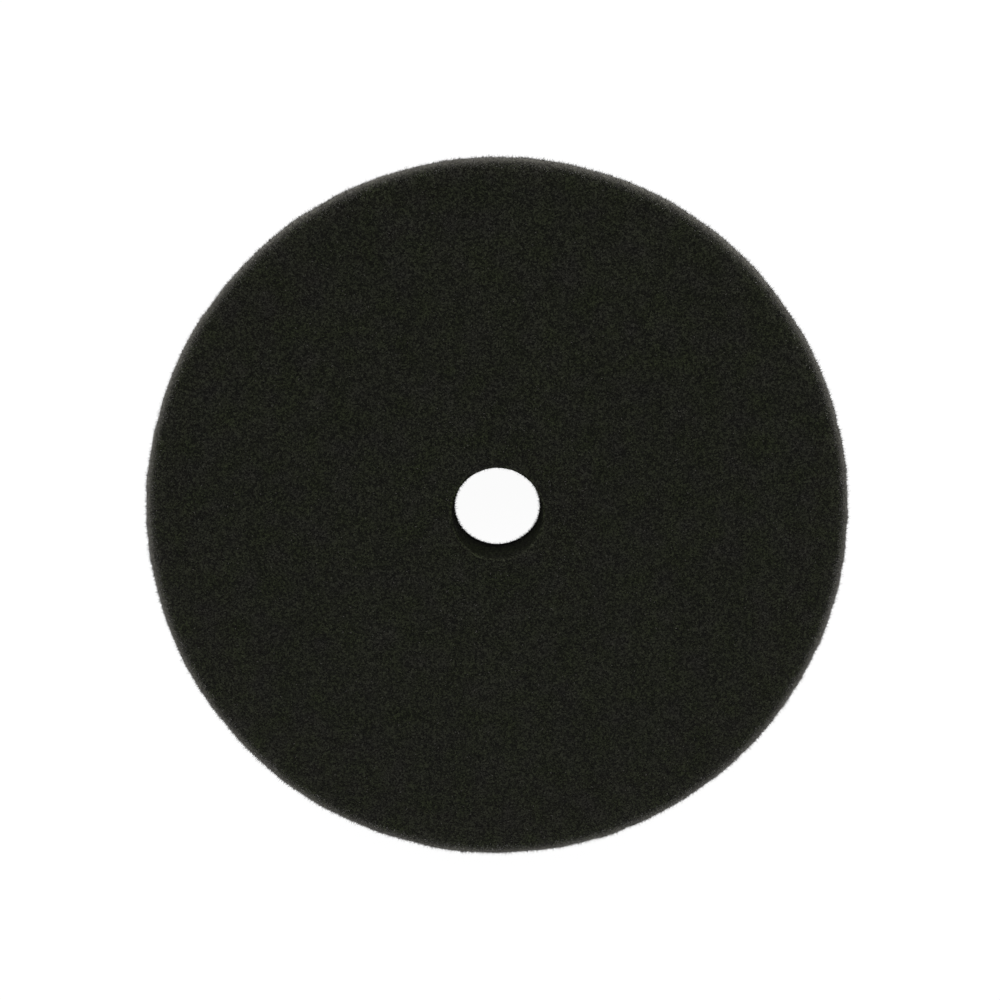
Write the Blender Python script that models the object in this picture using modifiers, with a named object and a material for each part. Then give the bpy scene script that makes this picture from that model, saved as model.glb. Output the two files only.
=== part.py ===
"""A foam polishing pad with a hook-and-loop back, for a car polisher's backing plate.

The pad is a bonded stack of round layers: a foam disc, an adhesive film, a knitted backing cloth
and the loop pile that grips the backing plate. A centre hole runs through all of them.
Metres, +Z up. The origin is the middle of the loop side, and +Z points out of the foam's working
face. One steel-rule die cuts every layer in one stroke. The soft foam bulges under the die, so
its outer wall springs back dished, and its hole springs back narrowest near mid-depth.
"""

import math

import bpy

# Driving dimensions, in metres.
PAD_DIAMETER = 0.150
PAD_HEIGHT = 0.030
HOLE_DIAMETER_AT_FACE = 0.0195
HOLE_DIAMETER_AT_BACK = 0.0210
PILE_HEIGHT = 0.0011
CLOTH_THICKNESS = 0.0005
FILM_THICKNESS = 0.0003
LAYER_GAP = 0.0003  # kept between neighbouring solids

# The die-cut foam walls, and the dressed edges of the working face.
WALL_DISH = 0.0008  # how far the outer wall is dished in at mid-depth
HOLE_WAIST = 0.0007  # how far the hole's wall stands in at mid-depth
EDGE_RADIUS = 0.0025
HOLE_EDGE_RADIUS = 0.0010

# The taut back layers hardly move under the die, so they end a little inside the foam's walls.
BACK_INSET = 0.0004
PILE_EDGE_CHAMFER = 0.0003

# How finely the turned shapes are drawn.
TURN_STEPS = 96
EDGE_STEPS = 6
HOLE_EDGE_STEPS = 3
WALL_STEPS = 9
SHARP_ANGLE = math.radians(40)
MERGE_DISTANCE = 0.00001

# The stack, from the loop face up.
PILE_TOP = PILE_HEIGHT
CLOTH_BOTTOM = PILE_TOP + LAYER_GAP
CLOTH_TOP = CLOTH_BOTTOM + CLOTH_THICKNESS
FILM_BOTTOM = CLOTH_TOP + LAYER_GAP
FILM_TOP = FILM_BOTTOM + FILM_THICKNESS
FOAM_BOTTOM = FILM_TOP + LAYER_GAP
FOAM_TOP = PAD_HEIGHT

OUTER_RADIUS = PAD_DIAMETER / 2
HOLE_RADIUS_AT_FACE = HOLE_DIAMETER_AT_FACE / 2
HOLE_RADIUS_AT_BACK = HOLE_DIAMETER_AT_BACK / 2
BACK_OUTER_RADIUS = OUTER_RADIUS - BACK_INSET
BACK_HOLE_RADIUS = HOLE_RADIUS_AT_BACK + BACK_INSET

# Colour, roughness and metallic value of each layer.
FOAM_LOOK = ((0.012, 0.013, 0.010), 0.95, 0.0)
FILM_LOOK = ((0.030, 0.029, 0.027), 0.45, 0.0)
CLOTH_LOOK = ((0.020, 0.020, 0.021), 0.85, 0.0)
PILE_LOOK = ((0.026, 0.026, 0.028), 0.90, 0.0)


def clear_scene():
    for obj in list(bpy.data.objects):
        bpy.data.objects.remove(obj, do_unlink=True)


def make_material(name, look):
    colour, roughness, metallic = look
    material = bpy.data.materials.new(name)
    material.use_nodes = True
    shader = material.node_tree.nodes["Principled BSDF"]
    shader.inputs["Base Color"].default_value = (*colour, 1.0)
    shader.inputs["Roughness"].default_value = roughness
    shader.inputs["Metallic"].default_value = metallic
    return material


def arc(centre_r, centre_z, radius, start_deg, end_deg, steps):
    """Points (r, z) along an arc, both ends included."""
    points = []
    for i in range(steps + 1):
        angle = math.radians(start_deg + (end_deg - start_deg) * i / steps)
        points.append((centre_r + radius * math.cos(angle), centre_z + radius * math.sin(angle)))
    return points


def wall(radius_from, z_from, radius_to, z_to, bulge, steps):
    """Points (r, z) along a cut wall whose middle is moved outward by bulge, its ends left out."""
    points = []
    for i in range(1, steps):
        t = i / steps
        swell = math.sin(math.pi * t) ** 2
        radius = radius_from + (radius_to - radius_from) * t + bulge * swell
        points.append((radius, z_from + (z_to - z_from) * t))
    return points


def foam_profile():
    """Half-section of the foam: down the outer wall, in across the back, up the hole, and round
    the hole's edge onto the working face."""
    edge_z = FOAM_TOP - EDGE_RADIUS
    hole_edge_r = HOLE_RADIUS_AT_FACE + HOLE_EDGE_RADIUS
    hole_edge_z = FOAM_TOP - HOLE_EDGE_RADIUS
    return [
        *arc(OUTER_RADIUS - EDGE_RADIUS, edge_z, EDGE_RADIUS, 90, 0, EDGE_STEPS),
        *wall(OUTER_RADIUS, edge_z, OUTER_RADIUS, FOAM_BOTTOM, -WALL_DISH, WALL_STEPS),
        (OUTER_RADIUS, FOAM_BOTTOM),
        (HOLE_RADIUS_AT_BACK, FOAM_BOTTOM),
        *wall(
            HOLE_RADIUS_AT_BACK, FOAM_BOTTOM, HOLE_RADIUS_AT_FACE, hole_edge_z, -HOLE_WAIST,
            WALL_STEPS,
        ),
        *arc(hole_edge_r, hole_edge_z, HOLE_EDGE_RADIUS, 180, 90, HOLE_EDGE_STEPS),
    ]


def flat_ring_profile(bottom, top):
    """Half-section of a flat layer with square-cut edges."""
    return [
        (BACK_OUTER_RADIUS, top),
        (BACK_OUTER_RADIUS, bottom),
        (BACK_HOLE_RADIUS, bottom),
        (BACK_HOLE_RADIUS, top),
    ]


def pile_profile():
    """Half-section of the loop pile, whose edges lean in where the loops at the cut lie over."""
    return [
        (BACK_OUTER_RADIUS, PILE_TOP),
        (BACK_OUTER_RADIUS, PILE_EDGE_CHAMFER),
        (BACK_OUTER_RADIUS - PILE_EDGE_CHAMFER, 0.0),
        (BACK_HOLE_RADIUS + PILE_EDGE_CHAMFER, 0.0),
        (BACK_HOLE_RADIUS, PILE_EDGE_CHAMFER),
        (BACK_HOLE_RADIUS, PILE_TOP),
    ]


def outline_object(name, profile):
    """The closed half-section as a wire in the XZ plane."""
    mesh = bpy.data.meshes.new(name + "_outline")
    points = [(r, 0.0, z) for r, z in profile]
    edges = [(i, (i + 1) % len(points)) for i in range(len(points))]
    mesh.from_pydata(points, edges, [])
    return bpy.data.objects.new(name, mesh)


def turn(name, profile, look, collection):
    """A solid of revolution about Z, shaded smooth except where its section has a corner."""
    obj = outline_object(name, profile)
    collection.objects.link(obj)
    screw = obj.modifiers.new("turn", "SCREW")
    screw.axis = "Z"
    screw.angle = 2 * math.pi
    screw.steps = TURN_STEPS
    screw.render_steps = TURN_STEPS
    screw.use_merge_vertices = True
    screw.merge_threshold = MERGE_DISTANCE

    turned = obj.evaluated_get(bpy.context.evaluated_depsgraph_get())
    solid = bpy.data.meshes.new_from_object(turned)
    solid.name = name
    obj.modifiers.clear()
    obj.data = solid
    solid.materials.append(make_material(name, look))
    solid.shade_smooth()
    solid.set_sharp_from_angle(angle=SHARP_ANGLE)
    return obj


def build():
    clear_scene()
    pad = bpy.data.collections.new("polishing_pad")
    bpy.context.scene.collection.children.link(pad)
    turn("foam_disc", foam_profile(), FOAM_LOOK, pad)
    turn("adhesive_film", flat_ring_profile(FILM_BOTTOM, FILM_TOP), FILM_LOOK, pad)
    turn("backing_cloth", flat_ring_profile(CLOTH_BOTTOM, CLOTH_TOP), CLOTH_LOOK, pad)
    turn("loop_pile", pile_profile(), PILE_LOOK, pad)


build()
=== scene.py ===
"""The looks of a foam polishing pad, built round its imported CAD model.

The pad lies on its loop side with the working face up. Everything is in metres, in the CAD's frame.
"""

import math

import bpy
import numpy as np
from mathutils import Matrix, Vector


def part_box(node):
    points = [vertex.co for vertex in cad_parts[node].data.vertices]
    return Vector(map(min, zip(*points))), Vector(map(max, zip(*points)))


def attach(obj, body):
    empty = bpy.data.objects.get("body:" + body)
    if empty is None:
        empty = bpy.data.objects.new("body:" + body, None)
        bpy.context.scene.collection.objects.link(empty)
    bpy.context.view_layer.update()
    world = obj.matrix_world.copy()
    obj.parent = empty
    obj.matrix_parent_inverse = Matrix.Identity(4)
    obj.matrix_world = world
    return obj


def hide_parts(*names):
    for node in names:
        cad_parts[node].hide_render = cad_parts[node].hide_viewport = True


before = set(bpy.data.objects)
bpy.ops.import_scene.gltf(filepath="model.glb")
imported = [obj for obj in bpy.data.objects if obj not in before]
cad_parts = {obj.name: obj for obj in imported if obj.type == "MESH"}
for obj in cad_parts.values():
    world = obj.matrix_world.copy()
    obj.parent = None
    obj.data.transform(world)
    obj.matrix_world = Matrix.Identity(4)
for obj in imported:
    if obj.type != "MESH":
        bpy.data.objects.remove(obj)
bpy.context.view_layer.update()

MM = 0.001

# ---------------------------------------------------------------------------------------------
# Sizes, from the frame
# ---------------------------------------------------------------------------------------------


def hole_radius(node, low=True):
    """Radius of a CAD node's hole at its lowest or highest level."""
    points = np.array([v.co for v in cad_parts[node].data.vertices])
    level = points[:, 2].min() if low else points[:, 2].max()
    ring = points[np.abs(points[:, 2] - level) < 0.01 * MM]
    return float(np.hypot(ring[:, 0], ring[:, 1]).min())


foam_low, foam_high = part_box("foam_disc")
film_low, film_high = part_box("adhesive_film")
cloth_low, cloth_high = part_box("backing_cloth")
pile_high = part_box("loop_pile")[1]

FOAM_TOP = foam_high.z
FOAM_BOTTOM = (foam_low.z + film_high.z) / 2
FILM_BOTTOM = (film_low.z + cloth_high.z) / 2
CLOTH_BOTTOM = (cloth_low.z + pile_high.z) / 2
OUTER_RADIUS = foam_high.x
BACK_OUTER_RADIUS = cloth_high.x

# The shapes of the foam's edges, as the CAD model has them.
EDGE_RADIUS = 2.5 * MM
HOLE_EDGE_RADIUS = 1.0 * MM
WALL_DISH = 0.8 * MM
HOLE_WAIST = 0.7 * MM
HOLE_RADIUS_AT_FACE = hole_radius("foam_disc", low=False) - HOLE_EDGE_RADIUS
HOLE_RADIUS_AT_BACK = hole_radius("foam_disc")
BACK_HOLE_RADIUS = hole_radius("backing_cloth")

EDGE_START = OUTER_RADIUS - EDGE_RADIUS  # the radius where the working face begins to round over
FOAM_CELL = 0.39 * MM

# ---------------------------------------------------------------------------------------------
# Meshes
# ---------------------------------------------------------------------------------------------


def add_piece(name, points, faces):
    """A smooth-shaded mesh object in the scene."""
    mesh = bpy.data.meshes.new(name)
    mesh.from_pydata(points.tolist(), [], faces)
    mesh.shade_smooth()
    piece = bpy.data.objects.new(name, mesh)
    bpy.context.scene.collection.objects.link(piece)
    return piece


def arc(centre_r, centre_z, radius, start_deg, end_deg, steps=24):
    """Points (r, z) along an arc, both ends included."""
    angles = np.radians(np.linspace(start_deg, end_deg, steps + 1))
    return np.stack([centre_r + radius * np.cos(angles), centre_z + radius * np.sin(angles)], 1)


def wall(start, end, bulge, steps=48):
    """A cut wall from start to end, as (r, z), whose middle is moved outward by bulge."""
    t = np.linspace(0, 1, steps + 1)[:, None]
    line = np.array(start) + (np.array(end) - np.array(start)) * t
    line[:, 0] += bulge * np.sin(math.pi * t[:, 0]) ** 2
    return line


def distances(line):
    """How far along a line each of its points is."""
    steps = np.linalg.norm(np.diff(line, axis=0), axis=1)
    return np.concatenate([[0], np.cumsum(steps)])


def evenly(line, pitch):
    """Points along a line about one pitch apart, its last point left out."""
    along = distances(line)
    count = max(1, round(along[-1] / pitch))
    at = np.arange(count) * along[-1] / count
    return np.stack([np.interp(at, along, line[:, k]) for k in (0, 1)], 1)


def section_normals(section):
    """Outward normals of a closed section that runs down its outer side."""
    tangent = np.roll(section, -1, axis=0) - np.roll(section, 1, axis=0)
    tangent /= np.linalg.norm(tangent, axis=1)[:, None]
    return np.stack([-tangent[:, 1], tangent[:, 0]], 1)


def zip_rings(first, second, count_a, count_b, shift_a, shift_b):
    """Triangles between two rings of points whose counts may differ.

    first and second are the numbers of the rings' first points. Each shift is how far round its
    ring those stand, as a share of the ring's step.
    """
    next_a = (np.arange(count_a) + 1 + shift_a) / count_a
    next_b = (np.arange(count_b) + 1 + shift_b) / count_b
    from_a = np.argsort(np.concatenate([next_a, next_b]), kind="stable") < count_a
    step_a = np.cumsum(from_a) - from_a
    step_b = np.cumsum(~from_a) - ~from_a
    third = np.where(from_a, first + (step_a + 1) % count_a, second + (step_b + 1) % count_b)
    return np.stack([first + step_a % count_a, second + step_b % count_b, third], 1)


def turned(section, pitches, rng, jitter):
    """A ring-shaped solid from a closed section, as points, their outward normals and triangles.

    pitches holds the distance between points along each ring. jitter, each ring's share of that
    distance, scatters its points so that no rows show.
    """
    normals = section_normals(section)
    counts = np.maximum(24, np.round(2 * math.pi * section[:, 0] / pitches)).astype(int)
    starts = np.concatenate([[0], np.cumsum(counts)])
    shifts = 0.5 * (np.arange(len(section)) % 2)
    points, outward, triangles = [], [], []
    for k, (r, z) in enumerate(section):
        count = counts[k]
        spots = np.arange(count) + shifts[k] + jitter[k] * rng.uniform(-0.5, 0.5, count)
        turn = 2 * math.pi * spots / count
        slide = jitter[k] * pitches[k] * rng.uniform(-0.5, 0.5, count)
        tangent = (normals[k, 1], -normals[k, 0])
        radius = r + slide * tangent[0]
        height = z + slide * tangent[1]
        flat = np.stack([np.cos(turn), np.sin(turn)], 1)
        points.append(np.column_stack([flat * radius[:, None], height]))
        outward.append(np.column_stack([flat * normals[k, 0], np.full(count, normals[k, 1])]))
        after = (k + 1) % len(section)
        triangles.append(
            zip_rings(starts[k], starts[after], count, counts[after], shifts[k], shifts[after])
        )
    return np.concatenate(points), np.concatenate(outward), np.concatenate(triangles)


def waves(points, length, rng, count=24):
    """Smooth noise of about one wavelength, near -1 to 1, as a sum of plane waves."""
    total = np.zeros(len(points))
    for _ in range(count):
        direction = rng.normal(size=3)
        direction /= np.linalg.norm(direction)
        steepness = 2 * math.pi / (length * rng.uniform(0.7, 1.4))
        total += np.cos(points @ direction * steepness + rng.uniform(0, 2 * math.pi))
    return total / math.sqrt(count)


def tubes(name, paths, radii, sides):
    """Closed thin tubes along flat curves. paths is an array of (tube, station, xyz)."""
    count, stations = paths.shape[:2]
    along = np.gradient(paths, axis=1)
    along /= np.linalg.norm(along, axis=2)[:, :, None]
    across = np.cross(paths[:, 1] - paths[:, 0], paths[:, -1] - paths[:, 0])
    across /= np.maximum(np.linalg.norm(across, axis=1), 1e-12)[:, None]
    across = np.broadcast_to(across[:, None, :], along.shape)
    up = np.cross(along, across)
    angles = 2 * math.pi * np.arange(sides) / sides
    rim = across[:, :, None, :] * np.cos(angles)[:, None]
    rim = rim + up[:, :, None, :] * np.sin(angles)[:, None]
    points = paths[:, :, None, :] + rim * radii[:, None, None, None]

    at = np.arange(count * stations * sides).reshape(count, stations, sides)
    low, high = at[:, :-1], at[:, 1:]
    quads = np.stack([low, np.roll(low, -1, 2), np.roll(high, -1, 2), high], 3).reshape(-1, 4)
    caps = np.concatenate([at[:, 0, ::-1], at[:, -1]])
    return add_piece(name, points.reshape(-1, 3), quads.tolist() + caps.tolist())


# ---------------------------------------------------------------------------------------------
# Materials
# ---------------------------------------------------------------------------------------------


class Nodes:
    """A material's node tree, with short calls to add nodes and join them."""

    def __init__(self, name):
        self.material = bpy.data.materials.new(name)
        self.material.use_nodes = True
        self.tree = self.material.node_tree
        self.shader = self.tree.nodes["Principled BSDF"]

    def add(self, kind, settings=None, **inputs):
        node = self.tree.nodes.new("ShaderNode" + kind)
        for key, value in (settings or {}).items():
            setattr(node, key, value)
        for key, value in inputs.items():
            self.set(node, key.replace("_", " "), value)
        return node

    def set(self, node, key, value):
        """Sets or links an input, by its name or its number."""
        socket = node.inputs[key]
        if isinstance(value, bpy.types.NodeSocket):
            self.tree.links.new(value, socket)
        else:
            socket.default_value = value

    def math(self, operation, *values):
        node = self.add("Math", {"operation": operation})
        for key, value in enumerate(values):
            self.set(node, key, value)
        return node.outputs[0]

    def ramp(self, value, *stops):
        """A colour ramp of (position, grey or colour)."""
        node = self.add("ValToRGB", Fac=value)
        elements = node.color_ramp.elements
        while len(elements) < len(stops):
            elements.new(0.5)
        for element, (position, colour) in zip(elements, stops):
            element.position = position
            element.color = (colour,) * 3 + (1,) if isinstance(colour, float) else (*colour, 1)
        return node.outputs[0]

    def place(self):
        """Where a point is on the object, in metres."""
        return self.add("TexCoord").outputs["Object"]

    def fade(self, value, low, high, first=0.0, last=1.0):
        """first below low, last above high, and straight between them."""
        node = self.add("MapRange", Value=value, From_Min=low, From_Max=high)
        self.set(node, "To Min", first)
        self.set(node, "To Max", last)
        return node.outputs[0]

    def surface(self, colour, bump, roughness):
        self.set(self.shader, "Base Color", colour)
        self.set(self.shader, "Normal", bump.outputs[0])
        self.set(self.shader, "Roughness", roughness)

    def sheen(self, weight, roughness=0.4):
        """The soft glow of a rough skin seen at a grazing angle."""
        self.set(self.shader, "Sheen Weight", weight)
        self.set(self.shader, "Sheen Roughness", roughness)


# How much light the foam gives back: its pores, and what its struts add to that.
PORE_TONE = 0.0018
STRUT_TONE = 0.0068

# The dye wanders between two tints. The painted glow on the edge and the sheen are warmer.
OLIVE_TINT = (0.92, 1.11, 0.54)
GREY_TINT = (1.04, 1.05, 0.82)
GLOW_TINT = (1.0, 0.95, 0.84)
SHEEN_TINT = (1.0, 0.96, 0.93, 1)

# The painted glow on the rounded edge: its own tone, and how strongly the foam's pattern shows in
# it.
GLOW_TONE = 0.055
GLOW_PATTERN = 6.0

FOAM_SHEEN = 0.15

# Painted shade deep in the hole and painted light near its mouth, for how light falls into it.
# The hole's wall against the foam's own tone: dark at its back end, pale from this far above it.
BORE_DARK, BORE_PALE = 0.3, 2.2
BORE_FADE = 16 * MM

# The darkest and palest tones of the back's layers, and the colour of their yarn.
FILM_TONES = ((0.012, 0.012, 0.011), (0.030, 0.029, 0.027))
KNIT_TONES = ((0.006, 0.006, 0.007), (0.026, 0.026, 0.028))
GROUND_TONES = ((0.001, 0.001, 0.001), (0.006, 0.006, 0.007))
YARN_COLOUR = (0.030, 0.030, 0.032)


def foam_tone(nodes, place):
    """The brightness of open-cell foam: a fine net of struts round dark pores, each cell catching
    the light its own way. Also the net alone, for the bump."""
    scale = 1 / FOAM_CELL
    edge = nodes.add("TexVoronoi", {"feature": "DISTANCE_TO_EDGE"}, Vector=place, Scale=scale)
    cell = nodes.add("TexVoronoi", {"feature": "F1"}, Vector=place, Scale=1.25 * scale)
    net = nodes.ramp(edge.outputs["Distance"], (0.0, 1.0), (0.10, 0.75), (0.30, 0.12), (0.5, 0.0))
    slant = nodes.add("SeparateColor", Color=cell.outputs["Color"]).outputs[0]
    # Most cells stay dull, and a few catch the light.
    catch = nodes.math("MULTIPLY_ADD", nodes.math("POWER", slant, 1.6), 2.3, 0.32)
    cloud = nodes.add("TexNoise", Vector=place, Scale=60.0, Detail=2.0).outputs["Fac"]
    drift = nodes.math("MULTIPLY_ADD", cloud, 0.3, 0.85)
    lit = nodes.math("MULTIPLY_ADD", net, STRUT_TONE, PORE_TONE)
    return nodes.math("MULTIPLY", nodes.math("MULTIPLY", lit, catch), drift), net


def foam_finish(nodes, place, tone, net, sheen, painted_glow=None):
    """Sets a foam's colour, from its brightness and its painted glow, if any, and its finish."""
    dye = nodes.add("TexNoise", Vector=place, Scale=170.0, Detail=1.0).outputs["Fac"]
    tint = nodes.ramp(dye, (0.25, OLIVE_TINT), (0.75, GREY_TINT))
    colour = nodes.add("VectorMath", {"operation": "SCALE"}, Vector=tint, Scale=tone).outputs[0]
    if painted_glow is not None:
        pale = nodes.add("VectorMath", {"operation": "SCALE"}, Vector=GLOW_TINT, Scale=painted_glow)
        both = nodes.add("VectorMath", {"operation": "ADD"})
        nodes.set(both, 0, colour)
        nodes.set(both, 1, pale.outputs[0])
        colour = both.outputs[0]
    grain = nodes.add("TexNoise", Vector=place, Scale=1.3 / FOAM_CELL, Detail=2.0, Roughness=0.7)
    rough = nodes.math("MULTIPLY_ADD", net, 0.4, grain.outputs["Fac"])
    bump = nodes.add("Bump", Strength=0.8, Distance=0.35 * MM, Height=rough)
    nodes.surface(colour, bump, roughness=0.95)
    nodes.set(nodes.shader, "Specular IOR Level", 0.05)
    nodes.set(nodes.shader, "Sheen Tint", SHEEN_TINT)
    nodes.sheen(sheen)
    return nodes.material


def foam_material():
    """The outside of the foam, paler with painted light round its edge, where light gets into the
    cells.
    """
    nodes = Nodes("foam")
    place = nodes.place()
    tone, net = foam_tone(nodes, place)
    at = nodes.add("SeparateXYZ", Vector=place)
    x_squared = nodes.math("POWER", at.outputs[0], 2.0)
    y_squared = nodes.math("POWER", at.outputs[1], 2.0)
    reach = nodes.math("SQRT", nodes.math("ADD", x_squared, y_squared))
    # Painted light: the foam's own pattern is brighter towards the edge, where the rim glows.
    edge_glow = nodes.fade(reach, OUTER_RADIUS - 2 * EDGE_RADIUS, OUTER_RADIUS, 1.0, 1.5)
    tone = nodes.math("MULTIPLY", tone, edge_glow)
    # The painted glow lies round the rounded edge only, so it fades inwards and down the wall.
    out = nodes.fade(reach, EDGE_START, OUTER_RADIUS)
    up = nodes.fade(at.outputs[2], FOAM_TOP - 1.6 * EDGE_RADIUS, FOAM_TOP - 0.65 * EDGE_RADIUS)
    glow_band = nodes.math("MULTIPLY", nodes.math("POWER", out, 3.2), up)
    glow_tone = nodes.math("MULTIPLY_ADD", tone, GLOW_PATTERN, GLOW_TONE)
    painted_glow = nodes.math("MULTIPLY", glow_band, glow_tone)
    return foam_finish(nodes, place, tone, net, FOAM_SHEEN, painted_glow)


def bore_material():
    """The cut wall of the hole, darker towards the back with painted shade. It has no sheen."""
    nodes = Nodes("foam_bore")
    place = nodes.place()
    tone, net = foam_tone(nodes, place)
    height = nodes.add("SeparateXYZ", Vector=place).outputs[2]
    # Painted shade at the hole's back end, painted light towards the face.
    bore_light_and_shade = nodes.fade(height, FOAM_BOTTOM, FOAM_BOTTOM + BORE_FADE, BORE_DARK, BORE_PALE)
    return foam_finish(nodes, place, nodes.math("MULTIPLY", tone, bore_light_and_shade), net, 0.0)


def strut_material(name, colour, sheen):
    """One strut or cut end of the foam, too thin to show more than a colour."""
    nodes = Nodes(name)
    nodes.set(nodes.shader, "Base Color", (*colour, 1))
    nodes.set(nodes.shader, "Roughness", 0.9)
    nodes.set(nodes.shader, "Specular IOR Level", 0.1)
    nodes.sheen(sheen)
    return nodes.material


def film_material():
    nodes = Nodes("adhesive_film")
    place = nodes.place()
    ripple = nodes.add("TexNoise", Vector=place, Scale=700.0, Detail=2.0).outputs["Fac"]
    dark, pale = FILM_TONES
    colour = nodes.ramp(ripple, (0.35, dark), (0.65, pale))
    bump = nodes.add("Bump", Strength=0.5, Distance=0.1 * MM, Height=ripple)
    nodes.surface(colour, bump, roughness=0.42)
    return nodes.material


def cloth_material():
    """Warp-knitted ground cloth: a wale about every 0.95 mm, crossed by a course every 0.77 mm."""
    nodes = Nodes("backing_knit")
    place = nodes.place()
    wales = nodes.add(
        "TexWave", {"bands_direction": "X"}, Vector=place, Scale=330.0, Distortion=1.2, Detail=2.0
    )
    courses = nodes.add(
        "TexWave", {"bands_direction": "Y"}, Vector=place, Scale=410.0, Distortion=1.2, Detail=2.0
    )
    knit = nodes.math("MULTIPLY", wales.outputs["Fac"], courses.outputs["Fac"])
    dark, pale = KNIT_TONES
    colour = nodes.ramp(knit, (0.0, dark), (0.8, pale))
    bump = nodes.add("Bump", Strength=0.7, Distance=0.15 * MM, Height=knit)
    nodes.surface(colour, bump, roughness=0.85)
    nodes.sheen(0.2, roughness=0.5)
    return nodes.material


def ground_material():
    """The matted feet of the loops, in the shade of the yarn above them."""
    nodes = Nodes("pile_ground")
    place = nodes.place()
    matted = nodes.add("TexNoise", Vector=place, Scale=1800.0, Detail=3.0).outputs["Fac"]
    dark, pale = GROUND_TONES
    colour = nodes.ramp(matted, (0.40, dark), (0.65, pale))
    bump = nodes.add("Bump", Strength=0.9, Distance=0.2 * MM, Height=matted)
    nodes.surface(colour, bump, roughness=0.9)
    nodes.set(nodes.shader, "Specular IOR Level", 0.1)
    return nodes.material


def loop_material(name):
    nodes = Nodes(name)
    nodes.set(nodes.shader, "Base Color", (*YARN_COLOUR, 1))
    nodes.set(nodes.shader, "Roughness", 0.5)
    nodes.sheen(0.35)
    return nodes.material


# ---------------------------------------------------------------------------------------------
# Foam
# ---------------------------------------------------------------------------------------------

FOAM_PITCH = 0.66 * MM
ROW_PITCH = FOAM_PITCH * math.sqrt(3) / 2
HIDDEN_PITCH = 3.0 * MM  # on the foam's back, under the film
FOAM_JITTER = 0.6  # as a share of the pitch
SHARP_ANGLE = math.radians(55)

# How far the skin swells and sinks, and over what lengths.
FINE_SWELL, FINE_LENGTH = 0.008 * MM, 2.2 * MM
BROAD_SWELL, BROAD_LENGTH = 0.05 * MM, 24 * MM
EDGE_SWELL, EDGE_LENGTH = 0.07 * MM, 6 * MM
SKIN_ROUGHNESS = 0.03 * MM


def foam_lines():
    """The foam's section as named lines of (r, z), in order round it."""
    edge_z = FOAM_TOP - EDGE_RADIUS
    hole_edge_r = HOLE_RADIUS_AT_FACE + HOLE_EDGE_RADIUS
    hole_edge_z = FOAM_TOP - HOLE_EDGE_RADIUS
    return {
        "edge": arc(EDGE_START, edge_z, EDGE_RADIUS, 90, 0),
        "wall": wall((OUTER_RADIUS, edge_z), (OUTER_RADIUS, FOAM_BOTTOM), -WALL_DISH),
        "back": np.array([(OUTER_RADIUS, FOAM_BOTTOM), (HOLE_RADIUS_AT_BACK, FOAM_BOTTOM)]),
        "hole": wall(
            (HOLE_RADIUS_AT_BACK, FOAM_BOTTOM), (HOLE_RADIUS_AT_FACE, hole_edge_z), -HOLE_WAIST
        ),
        "hole_edge": arc(hole_edge_r, hole_edge_z, HOLE_EDGE_RADIUS, 180, 90),
        "face": np.array([(hole_edge_r, FOAM_TOP), (EDGE_START, FOAM_TOP)]),
    }


def swell(points):
    """How far the uneven skin stands off the foam's plain section, most at the rounded edge."""
    rng = np.random.default_rng(12)
    fine = FINE_SWELL * waves(points, FINE_LENGTH, rng)
    broad = BROAD_SWELL * waves(points, BROAD_LENGTH, rng)
    outer = np.clip((np.hypot(points[:, 0], points[:, 1]) - EDGE_START) / EDGE_RADIUS, 0, 1)
    return fine + broad + EDGE_SWELL * outer * waves(points, EDGE_LENGTH, rng)


def foam_disc(lines):
    """The foam as one closed body with an uneven, ragged skin."""
    rng = np.random.default_rng(11)
    section, pitches = [], []
    for name, line in lines.items():
        hidden = name == "back"
        stations = evenly(line, HIDDEN_PITCH if hidden else ROW_PITCH)
        section.append(stations)
        pitches.append(np.full(len(stations), HIDDEN_PITCH if hidden else FOAM_PITCH))
    section, pitches = np.concatenate(section), np.concatenate(pitches)
    # The rings at the back's two corners stay even, so that the back ends in clean circles.
    jitter = np.where(section[:, 1] > FOAM_BOTTOM, FOAM_JITTER, 0.0)
    points, outward, triangles = turned(section, pitches, rng, jitter)
    skin = swell(points) + SKIN_ROUGHNESS * rng.uniform(-1, 1, len(points))
    # The back is glued flat, so it doesn't swell.
    flat_back = np.abs(points[:, 2] - FOAM_BOTTOM) < 0.5 * FOAM_PITCH
    skin[flat_back] = 0
    piece = add_piece("foam_disc_skin", points + outward * skin[:, None], triangles.tolist())
    piece.data.set_sharp_from_angle(angle=SHARP_ANGLE)
    piece.data.materials.append(foam_material())
    piece.data.materials.append(bore_material())
    # The second material goes on the hole's wall and on its edge, nearly up to the face.
    middle = points[triangles].mean(axis=1)
    bore = np.hypot(middle[:, 0], middle[:, 1]) < HOLE_RADIUS_AT_BACK + FOAM_PITCH / 2
    bore &= middle[:, 2] < FOAM_TOP - 0.15 * HOLE_EDGE_RADIUS
    piece.data.polygons.foreach_set("material_index", bore.astype(np.int32))
    return piece


def on_section(line, at):
    """Points and normals on a line at distances from its start."""
    along = distances(line)
    tangent = np.gradient(line, axis=0)
    tangent /= np.linalg.norm(tangent, axis=1)[:, None]
    r, z, tangent_r, tangent_z = (np.interp(at, along, v) for v in (*line.T, *tangent.T))
    return np.stack([r, z], 1), np.stack([-tangent_z, tangent_r], 1)


def spin(section, angle):
    """Section points or vectors (r, z), each turned about Z by its own angle."""
    r, z = section.T
    return np.stack([r * np.cos(angle), r * np.sin(angle), z], 1)


def sizes(rng, ends, count):
    """Random sizes between two ends that are given in millimetres."""
    return rng.uniform(*ends, count) * MM


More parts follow.
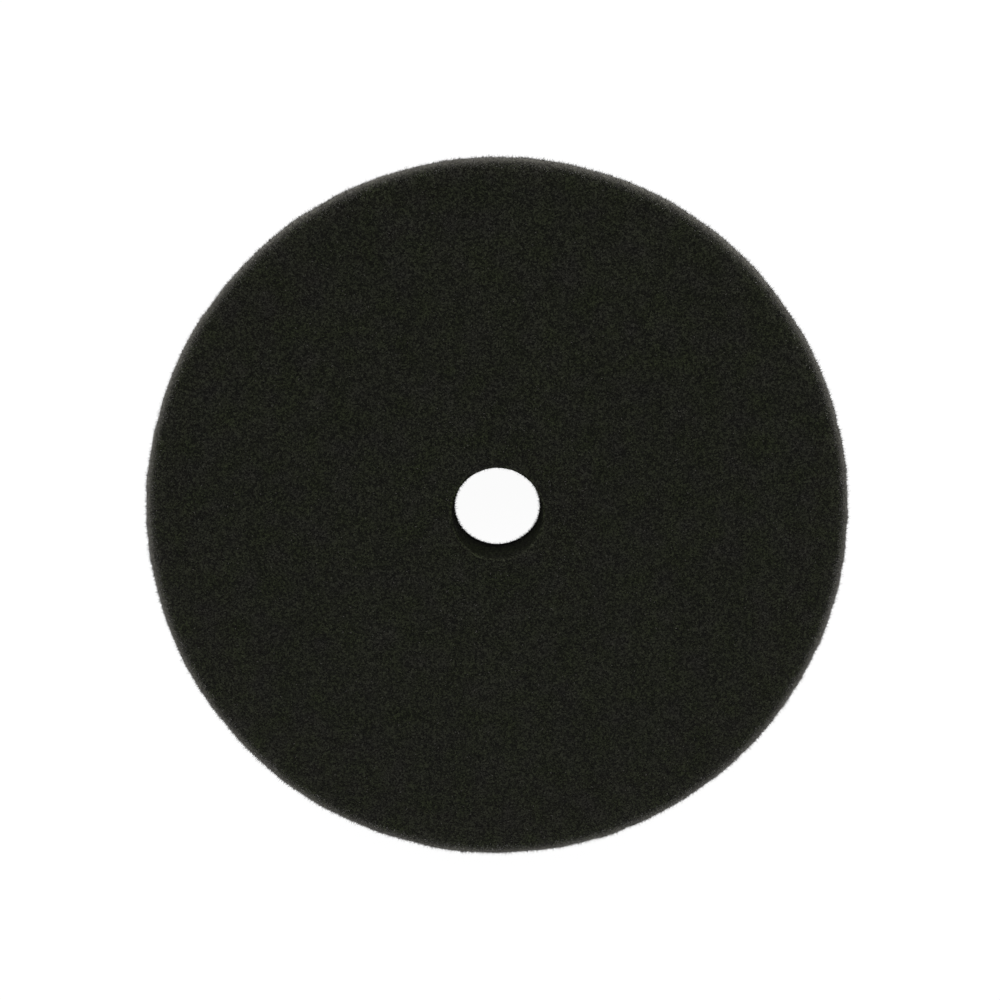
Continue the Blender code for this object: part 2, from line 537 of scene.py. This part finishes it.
def scatter(line, density, rng, crowd):
    """Random places on a line's turned surface: distance along it, angle round it, point, normal.

    density is a mean, per square millimetre. The places crowd to the line's end where crowd is
    under 1, and to its start where it is over 1.
    """
    length = distances(line)[-1]
    area = length * 2 * math.pi * line[:, 0].mean()
    count = int(density * area / MM**2)
    at = length * rng.uniform(0, 1, count) ** crowd
    turn = rng.uniform(0, 2 * math.pi, count)
    here, normal = on_section(line, at)
    return at, turn, here, normal


# Ranges in millimetres.
STRUT_SPAN = (0.28, 0.55)
STRUT_RISE = (0.10, 0.40)
STRUT_RADIUS = (0.024, 0.040)
SPIKE_RADIUS = (0.028, 0.045)

# How deep struts and spikes are rooted in the skin.
STRUT_ROOT = 0.12 * MM
SPIKE_ROOT = 0.08 * MM

STRUT_SKEW = 0.3  # how far a strut's top strays along it, as a share of its span
SPIKE_LEAN = 0.45  # how far a spike strays from upright, as a share of its height
SPIKE_SHORTEST = 0.1 * MM
SPIKE_TALLEST = 3.5  # as a multiple of the mean height

# Colour and sheen of the foam's skeleton where it stands clear.
# Painted light and shade: paler at the rounded edge and as glints, darkest in the hole's shade.
EDGE_SPIKES = ((0.100, 0.095, 0.085), 0.4)
EDGE_STRUTS = ((0.050, 0.048, 0.043), 0.0)
WALL_CELLS = ((0.030, 0.030, 0.026), 0.0)
FACE_SPIKES = ((0.014, 0.014, 0.012), FOAM_SHEEN)
BORE_CELLS = ((0.008, 0.008, 0.007), 0.0)
GLINTS = ((0.060, 0.058, 0.052), 0.0)


def strut_paths(line, rng, density, crowd=1.0):
    """Small bridges of foam skeleton standing on the skin."""
    at, turn, here, normal = scatter(line, density, rng, crowd)
    span = sizes(rng, STRUT_SPAN, len(at))
    heading = rng.uniform(0, 2 * math.pi, len(at))
    beyond = np.clip(at + span * np.cos(heading), 0, distances(line)[-1])
    there, normal_there = on_section(line, beyond)
    turn_there = turn + span * np.sin(heading) / here[:, 0]
    first, last = spin(here, turn), spin(there, turn_there)
    out_first, out_last = spin(normal, turn), spin(normal_there, turn_there)
    first += out_first * swell(first)[:, None]
    last += out_last * swell(last)[:, None]
    rise = sizes(rng, STRUT_RISE, len(at))[:, None]
    top = (first + last) / 2 + (out_first + out_last) / 2 * rise
    top += (last - first) * rng.uniform(-STRUT_SKEW, STRUT_SKEW, len(at))[:, None]
    return np.stack([first - out_first * STRUT_ROOT, top, last - out_last * STRUT_ROOT], 1)


def struts(name, paths, look, rng, thickness=1.0):
    """One piece from lists of strut paths."""
    paths = np.concatenate(paths)
    radii = thickness * sizes(rng, STRUT_RADIUS, len(paths))
    piece = tubes(name, paths, radii, sides=3)
    piece.data.materials.append(strut_material(name, *look))
    return piece


def nap(name, line, look, rng, density, height, crowd=1.0):
    """Cut ends of the foam's skeleton: fine closed spikes of a mean height that lean all ways."""
    at, turn, here, normal = scatter(line, density, rng, crowd)
    count = len(at)
    root, out = spin(here, turn), spin(normal, turn)
    root += out * swell(root)[:, None]
    along = out + rng.normal(0, SPIKE_LEAN, (count, 3))
    along /= np.linalg.norm(along, axis=1)[:, None]
    side = np.cross(along, rng.normal(size=(count, 3)))
    side /= np.linalg.norm(side, axis=1)[:, None]
    other = np.cross(along, side)
    tall = np.clip(rng.exponential(height, count), SPIKE_SHORTEST, SPIKE_TALLEST * height)
    radius = sizes(rng, SPIKE_RADIUS, count)[:, None]
    foot = root - out * SPIKE_ROOT
    thirds = np.radians([0, 120, 240])
    corners = [foot + radius * (side * math.cos(a) + other * math.sin(a)) for a in thirds]
    points = np.stack([*corners, root + along * tall[:, None]], 1).reshape(-1, 3)
    spike = np.array([(0, 2, 1), (0, 1, 3), (1, 2, 3), (2, 0, 3)])
    faces = (4 * np.arange(count)[:, None, None] + spike).reshape(-1, 3)
    piece = add_piece(name, points, faces.tolist())
    piece.data.materials.append(strut_material(name, *look))
    return piece


def broken_cells(lines):
    """What stands on the foam's cut skin: bridges of broken cells, their cut ends and glints."""
    rng = np.random.default_rng(23)
    edge, side, face = lines["edge"], lines["wall"], lines["face"]
    hole, hole_edge = lines["hole"], lines["hole_edge"]
    rim = [strut_paths(edge, rng, density=2.0, crowd=0.6)]
    skin = [strut_paths(side, rng, density=0.4, crowd=1.6), strut_paths(face, rng, density=0.06)]
    glints = [strut_paths(face, rng, density=0.045)]
    return [
        struts("foam_rim_struts", rim, EDGE_STRUTS, rng),
        struts("foam_skin_struts", skin, WALL_CELLS, rng),
        struts("foam_glints", glints, GLINTS, rng, thickness=2.0),
        nap("foam_edge_nap", edge, EDGE_SPIKES, rng, density=21.0, height=0.31 * MM, crowd=0.6),
        nap("foam_wall_nap", side, WALL_CELLS, rng, density=3.0, height=0.25 * MM, crowd=1.3),
        nap("foam_face_nap", face, FACE_SPIKES, rng, density=2.0, height=0.16 * MM),
        nap("foam_bore_nap", hole, BORE_CELLS, rng, density=12.0, height=0.24 * MM, crowd=1.6),
        nap("foam_bore_edge_nap", hole_edge, BORE_CELLS, rng, density=5.0, height=0.12 * MM),
    ]


# ---------------------------------------------------------------------------------------------
# Back
# ---------------------------------------------------------------------------------------------

CUT_PITCH = 0.5 * MM  # between points along the cut edges of the film, the cloth and the pile
CUT_WAVE = 3 * MM  # the length of the unevenness along those edges
OVERLAP = 0.1 * MM  # how far a layer reaches into the one above
GROUND_BOTTOM = 0.9 * MM
LOOP_PITCH = 1.1 * MM
LOOP_SCATTER = 0.14  # as a share of the pitch
LOOP_MARGIN = 0.3 * MM  # from the cloth's edges to the middle of the nearest loop

# Ranges in millimetres.
LOOP_HALF_WIDTH = (0.28, 0.50)
LOOP_LEAN = (0.1, 0.9)
LOOP_CLEARANCE = (0.0, 0.35)  # from the floor up to a loop's tip
YARN_RADIUS = (0.08, 0.12)


def flat_ring(name, bottom, top, pitch, uneven, seed, inset=0.0):
    """A thin closed ring with slightly uneven cut edges."""
    rng = np.random.default_rng(seed)
    outer, inner = BACK_OUTER_RADIUS - inset, BACK_HOLE_RADIUS + inset
    corners = [(outer, top), (outer, bottom), (inner, bottom), (inner, top)]
    cut_step = (top - bottom) / 3
    section, pitches = [], []
    # Down the outer cut, in across the bottom, up the inner cut and out across the top.
    for k, step in enumerate((cut_step, pitch, cut_step, pitch)):
        side = evenly(np.array([corners[k], corners[(k + 1) % 4]]), step)
        section.append(side)
        pitches.append(np.full(len(side), pitch if k % 2 else CUT_PITCH))
    section, pitches = np.concatenate(section), np.concatenate(pitches)
    points, outward, triangles = turned(section, pitches, rng, np.zeros(len(section)))
    ragged = uneven * (waves(points, CUT_WAVE, rng) + rng.uniform(-0.5, 0.5, len(points)))
    # Only the cut edges move, and only level.
    cut = np.abs(outward[:, :2]).sum(1) > 0.5
    points[cut] += (outward * ragged[:, None])[cut] * (1, 1, 0)
    return add_piece(name, points, triangles.tolist())


def loop_paths(rng, pitch):
    """Yarn loops hanging from the cloth in rows, brushed over in all directions, and the radius
    of each loop's yarn."""
    steps = np.arange(-BACK_OUTER_RADIUS, BACK_OUTER_RADIUS, pitch)
    x, y = (grid.ravel() for grid in np.meshgrid(steps, steps))
    x = x + pitch / 2 * (np.round(y / pitch) % 2)
    x = x + rng.normal(0, LOOP_SCATTER * pitch, x.size)
    y = y + rng.normal(0, LOOP_SCATTER * pitch, y.size)
    reach = np.hypot(x, y)
    kept = (reach < BACK_OUTER_RADIUS - LOOP_MARGIN) & (reach > BACK_HOLE_RADIUS + LOOP_MARGIN)
    x, y = x[kept], y[kept]
    heading = rng.uniform(0, 2 * math.pi, x.size)
    half_width = sizes(rng, LOOP_HALF_WIDTH, x.size)
    lean = sizes(rng, LOOP_LEAN, x.size)
    radii = sizes(rng, YARN_RADIUS, x.size)
    tip = radii + sizes(rng, LOOP_CLEARANCE, x.size)
    across = np.stack([np.cos(heading), np.sin(heading)], 1)
    over = np.stack([-np.sin(heading), np.cos(heading)], 1)
    root = CLOTH_BOTTOM + OVERLAP
    paths = []
    for angle in np.radians([0, 45, 90, 135, 180]):
        side = -math.cos(angle) * half_width
        down = math.sin(angle)
        flat = np.stack([x, y], 1) + across * side[:, None] + over * (lean * down)[:, None]
        paths.append(np.column_stack([flat, root - (root - tip) * down]))
    paths = np.stack(paths, 1)
    # Loops that would stick out past the foam or into the hole are left out.
    reach = np.hypot(paths[:, :, 0], paths[:, :, 1])
    inside = (reach.max(1) < OUTER_RADIUS) & (reach.min(1) - radii > BACK_HOLE_RADIUS)
    return paths[inside], radii[inside]


def pile_ground():
    """The matted feet of the loops, too dense to see between."""
    ground = flat_ring(
        "pile_ground", GROUND_BOTTOM, CLOTH_BOTTOM + OVERLAP / 2, pitch=1.0 * MM, uneven=0.05 * MM,
        seed=43, inset=0.1 * MM,
    )
    ground.data.materials.append(ground_material())
    return ground


def adhesive_bead():
    bead = flat_ring(
        "adhesive_bead", FILM_BOTTOM, FOAM_BOTTOM + OVERLAP, pitch=1.5 * MM, uneven=0.04 * MM,
        seed=31, inset=0.2 * MM,
    )
    bead.data.materials.append(film_material())
    return bead


def backing_cloth():
    cloth = flat_ring(
        "backing_cloth_knit", CLOTH_BOTTOM, FILM_BOTTOM + OVERLAP, pitch=1.0 * MM,
        uneven=0.03 * MM, seed=37,
    )
    cloth.data.materials.append(cloth_material())
    return cloth


def loop_pile():
    """The pile: its matted ground, and the loops that the knitting machine's two bars lay."""
    rng = np.random.default_rng(41)
    paths, radii = loop_paths(rng, LOOP_PITCH)
    pile = [pile_ground()]
    for first, name in enumerate(("pile_loops_front_bar", "pile_loops_back_bar")):
        bar = tubes(name, paths[first::2], radii[first::2], sides=3)
        bar.data.materials.append(loop_material(name))
        pile.append(bar)
    return pile


# ---------------------------------------------------------------------------------------------
# Stage
# ---------------------------------------------------------------------------------------------

# The room lights the pad a little less than white, but the backdrop and the floor look white.
ROOM_LIGHT = 0.85
BACKDROP_GLOW = 1.0
FLOOR_GLOW = 0.96
FLOOR_RADIUS = 3.0

# A soft overhead light from the +Y side, turned towards the pad.
KEY_PLACE = (0.0, 0.75, 1.1)
KEY_TURN = math.radians(-34)
KEY_SIZE = 0.9
KEY_POWER = 12.0


def white_world():
    world = bpy.data.worlds.new("studio")
    world.use_nodes = True
    backdrop = world.node_tree.nodes["Background"]
    backdrop.inputs["Color"].default_value = (1, 1, 1, 1)
    seen_directly = world.node_tree.nodes.new("ShaderNodeLightPath").outputs["Is Camera Ray"]
    strength = world.node_tree.nodes.new("ShaderNodeMapRange")
    strength.inputs["To Min"].default_value = ROOM_LIGHT
    strength.inputs["To Max"].default_value = BACKDROP_GLOW
    world.node_tree.links.new(seen_directly, strength.inputs["Value"])
    world.node_tree.links.new(strength.outputs[0], backdrop.inputs["Strength"])
    return world


def white_floor():
    """A floor that gives back light like pale paper, and looks white to the camera."""
    bpy.ops.mesh.primitive_circle_add(vertices=96, radius=FLOOR_RADIUS, fill_type="NGON")
    floor = bpy.context.object
    floor.name = "floor"
    nodes = Nodes("floor")
    nodes.tree.nodes.remove(nodes.shader)
    lit = nodes.add("BsdfDiffuse", Color=(0.75, 0.75, 0.75, 1))
    pale = nodes.add("BsdfDiffuse", Color=(0.06, 0.06, 0.06, 1))
    glow = nodes.add("Emission", Strength=FLOOR_GLOW)
    seen = nodes.add("AddShader")
    nodes.set(seen, 0, pale.outputs[0])
    nodes.set(seen, 1, glow.outputs[0])
    mix = nodes.add("MixShader", Fac=nodes.add("LightPath").outputs["Is Camera Ray"])
    nodes.set(mix, 1, lit.outputs[0])
    nodes.set(mix, 2, seen.outputs[0])
    nodes.set(nodes.tree.nodes["Material Output"], "Surface", mix.outputs[0])
    floor.data.materials.append(nodes.material)
    return floor


def stage():
    bpy.context.scene.world = white_world()
    bpy.context.scene.view_settings.view_transform = "Standard"

    floor = white_floor()

    bpy.ops.object.light_add(type="AREA", location=KEY_PLACE)
    key = bpy.context.object
    key.rotation_euler = (KEY_TURN, 0, 0)
    key.data.size = KEY_SIZE
    key.data.energy = KEY_POWER


# The camera looks down on the working face, a little from the +Y side.
CAMERA_TILT = math.radians(7.17)
CAMERA_DISTANCE = 417 * MM
CAMERA_LENS = 70.50

# How far the face's centre sits right of and above the middle of the picture.
FACE_OFFSET = (-0.60 * MM, -2.97 * MM)


def camera():
    data = bpy.data.cameras.new("camera")
    data.sensor_width = 36.0
    data.lens = CAMERA_LENS
    viewer = bpy.data.objects.new("camera", data)
    cos_tilt, sin_tilt = math.cos(CAMERA_TILT), math.sin(CAMERA_TILT)
    right, up = FACE_OFFSET
    viewer.location = (
        -right,
        CAMERA_DISTANCE * sin_tilt - up * cos_tilt,
        FOAM_TOP + CAMERA_DISTANCE * cos_tilt + up * sin_tilt,
    )
    viewer.rotation_euler = (-CAMERA_TILT, 0, 0)
    bpy.context.scene.collection.objects.link(viewer)
    bpy.context.scene.camera = viewer


# ---------------------------------------------------------------------------------------------
# Assembly
# ---------------------------------------------------------------------------------------------


def build():
    lines = foam_lines()
    foam = foam_disc(lines)
    cells = broken_cells(lines)
    film = adhesive_bead()
    cloth = backing_cloth()
    pile = loop_pile()

    for piece in (foam, *cells, film, cloth, *pile):
        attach(piece, "root")
    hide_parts("foam_disc")
    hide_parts("adhesive_film")
    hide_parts("backing_cloth")
    for piece in pile:
        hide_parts("loop_pile")


stage()
camera()
build()
